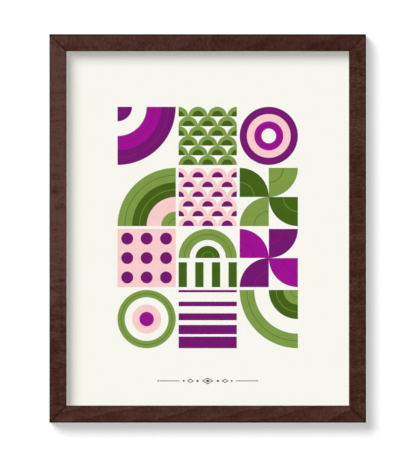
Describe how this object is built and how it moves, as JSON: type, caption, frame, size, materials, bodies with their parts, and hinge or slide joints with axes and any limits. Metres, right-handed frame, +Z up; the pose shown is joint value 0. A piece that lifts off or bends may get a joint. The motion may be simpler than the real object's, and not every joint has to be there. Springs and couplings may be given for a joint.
{
  "type": "framed wall picture",
  "caption": "Portrait wall picture in a dark stained wood frame, glazed and backed, with a saw-tooth hanger and wall bumpers behind.",
  "frame": {"origin": "the middle notch of the saw-tooth hanger, where the nail carries the picture, on the plane of the wall", "axes": "+Z up the picture's height, +Y out of the back into the wall, +X to the right as seen from the front, so the picture faces -Y"},
  "size_m": [0.448, 0.0272, 0.5496],
  "materials": {
    "frame_wood": "satin",
    "picture_glass": "gloss",
    "art_paper": "matte",
    "hardboard": "matte",
    "spring_steel": "satin",
    "zinc_plated_steel": "satin",
    "bumper_rubber": "matte"
  },
  "bodies": {
    "root": {"rail_top": "frame_wood", "rail_right": "frame_wood", "rail_bottom": "frame_wood", "rail_left": "frame_wood", "glazing": "picture_glass", "print_sheet": "art_paper", "backing_board": "hardboard", "tab_top_1": "spring_steel", "tab_top_2": "spring_steel", "tab_right_1": "spring_steel", "tab_right_2": "spring_steel", "tab_right_3": "spring_steel", "tab_bottom_1": "spring_steel", "tab_bottom_2": "spring_steel", "tab_left_1": "spring_steel", "tab_left_2": "spring_steel", "tab_left_3": "spring_steel", "wedge_top_left_1": "spring_steel", "wedge_top_left_2": "spring_steel", "wedge_top_right_1": "spring_steel", "wedge_top_right_2": "spring_steel", "wedge_bottom_right_1": "spring_steel", "wedge_bottom_right_2": "spring_steel", "wedge_bottom_left_1": "spring_steel", "wedge_bottom_left_2": "spring_steel", "hanger_plate": "zinc_plated_steel", "hanger_screw_left": "zinc_plated_steel", "hanger_screw_right": "zinc_plated_steel", "bumper_left": "bumper_rubber", "bumper_right": "bumper_rubber"}
  },
  "joints": []
}
